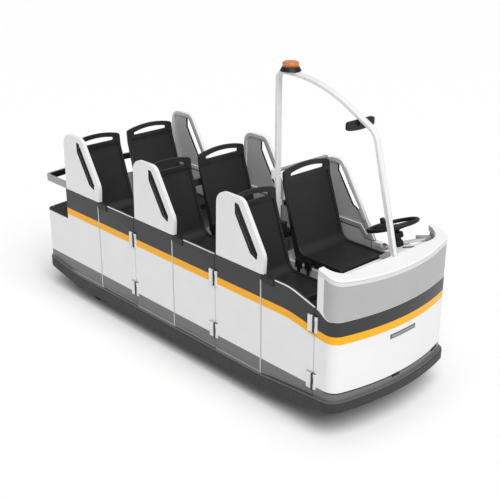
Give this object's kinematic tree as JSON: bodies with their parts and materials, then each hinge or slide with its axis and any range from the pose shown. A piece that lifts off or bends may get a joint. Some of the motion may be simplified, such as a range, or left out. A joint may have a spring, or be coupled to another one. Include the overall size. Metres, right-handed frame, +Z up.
{
  "type": "electric passenger cart",
  "caption": "Open low-floor electric passenger cart with rows of paired seats, front-hinged side doors, ramped bumper, bowed cowl and a single overhead arch.",
  "frame": {"origin": "on the floor under the middle of the cart's box", "axes": "+X forward, +Y to the cart's left, +Z up"},
  "size_m": [3.301, 1.12, 2.093],
  "materials": {
    "body_white": "satin moulded panel with dark band and yellow stripe",
    "wing_white": "satin moulded panel",
    "bumper_grey": "fine grained",
    "inset_grey": "satin",
    "light_grey": "grained",
    "floor_grey": "ribbed mat",
    "deck_black": "textured",
    "seat_black": "moulded with fine grain",
    "trim_black": "satin",
    "wheel_black": "soft grip",
    "amber_lens": "ribbed lens",
    "arch_white": "gloss paint",
    "rail_grey": "satin paint",
    "hinge_white": "gloss paint",
    "black_steel": "chassis paint",
    "battery_grey": "moulded case",
    "tyre": "treaded",
    "rim_grey": "silver paint"
  },
  "bodies": {
    "cart": {"arch_tube": "arch_white", "battery_box": "battery_grey", "beacon_base": "trim_black", "beacon_lens": "amber_lens", "belt_buckles": "trim_black", "bumper_ring": "bumper_grey", "chassis_frame": "black_steel", "cowl_rim": "body_white", "dashboard": "light_grey", "drive_motor": "black_steel", "driver_seat": "seat_black", "floor_pan": "floor_grey", "front_axle": "black_steel", "front_body": "body_white", "front_inset": "inset_grey", "grab_rails": "rail_grey", "hinge_leaves": "hinge_white", "mirror": "trim_black", "passenger_seats": "seat_black", "pedals": "black_steel", "rear_axle": "black_steel", "rear_body": "body_white", "rear_deck": "deck_black", "seat_plinths": "light_grey", "side_panels": "body_white", "steering_column": "trim_black", "wing_panels": "wing_white"},
    "steer_left": {"knuckle_left": "black_steel"},
    "steer_right": {"knuckle_right": "black_steel"},
    "hand_wheel": {"steering_wheel": "wheel_black"},
    "wheel_front_left": {"tyre_front_left": "tyre", "rim_front_left": "rim_grey"},
    "wheel_front_right": {"tyre_front_right": "tyre", "rim_front_right": "rim_grey"},
    "wheel_rear_left": {"tyre_rear_left": "tyre", "rim_rear_left": "rim_grey"},
    "wheel_rear_right": {"tyre_rear_right": "tyre", "rim_rear_right": "rim_grey"},
    "door_left_front_panel": {"door_left_front": "body_white"},
    "door_left_middle_panel": {"door_left_middle": "body_white"},
    "door_left_rear_panel": {"door_left_rear": "body_white"},
    "door_right_front_panel": {"door_right_front": "body_white"},
    "door_right_middle_panel": {"door_right_middle": "body_white"},
    "door_right_rear_panel": {"door_right_rear": "body_white"}
  },
  "joints": [
    {"name": "steer_left_turn", "type": "hinge", "parent": "cart", "child": "steer_left", "pos_m": [0.7435, 0.24, 0.2], "axis": [0, 0, 1], "range_deg": [-30, 30]},
    {"name": "steer_right_turn", "type": "hinge", "parent": "cart", "child": "steer_right", "pos_m": [0.7435, -0.24, 0.2], "axis": [0, 0, 1], "range_deg": [-30, 30]},
    {"name": "wheel_front_left_spin", "type": "hinge", "parent": "steer_left", "child": "wheel_front_left", "pos_m": [0.7435, 0.34, 0.2], "axis": [0, 1, 0], "continuous": true},
    {"name": "wheel_rear_left_spin", "type": "hinge", "parent": "cart", "child": "wheel_rear_left", "pos_m": [-1.0695, 0.41, 0.2], "axis": [0, 1, 0], "continuous": true},
    {"name": "wheel_front_right_spin", "type": "hinge", "parent": "steer_right", "child": "wheel_front_right", "pos_m": [0.7435, -0.34, 0.2], "axis": [0, 1, 0], "continuous": true},
    {"name": "wheel_rear_right_spin", "type": "hinge", "parent": "cart", "child": "wheel_rear_right", "pos_m": [-1.0695, -0.41, 0.2], "axis": [0, 1, 0], "continuous": true},
    {"name": "hand_wheel_turn", "type": "hinge", "parent": "cart", "child": "hand_wheel", "pos_m": [1.2895, 0.265, 1.121], "axis": [-0.3584, 0, 0.9336], "range_deg": [-360, 360]},
    {"name": "door_right_rear_swing", "type": "hinge", "parent": "cart", "child": "door_right_rear_panel", "pos_m": [-0.4055, -0.544, 0.54], "axis": [0, 0, 1], "range_deg": [0, 88]},
    {"name": "door_left_rear_swing", "type": "hinge", "parent": "cart", "child": "door_left_rear_panel", "pos_m": [-0.4055, 0.544, 0.54], "axis": [0, 0, 1], "range_deg": [-88, 0]},
    {"name": "door_right_middle_swing", "type": "hinge", "parent": "cart", "child": "door_right_middle_panel", "pos_m": [0.48, -0.544, 0.54], "axis": [0, 0, 1], "range_deg": [0, 88]},
    {"name": "door_left_middle_swing", "type": "hinge", "parent": "cart", "child": "door_left_middle_panel", "pos_m": [0.48, 0.544, 0.54], "axis": [0, 0, 1], "range_deg": [-88, 0]},
    {"name": "door_right_front_swing", "type": "hinge", "parent": "cart", "child": "door_right_front_panel", "pos_m": [1.3825, -0.544, 0.54], "axis": [0, 0, 1], "range_deg": [0, 88]},
    {"name": "door_left_front_swing", "type": "hinge", "parent": "cart", "child": "door_left_front_panel", "pos_m": [1.3825, 0.544, 0.54], "axis": [0, 0, 1], "range_deg": [-88, 0]}
  ],
  "couplings": [
    {"joint": "steer_right_turn", "follows": "steer_left_turn", "ratio": 1},
    {"joint": "hand_wheel_turn", "follows": "steer_left_turn", "ratio": 12}
  ]
}
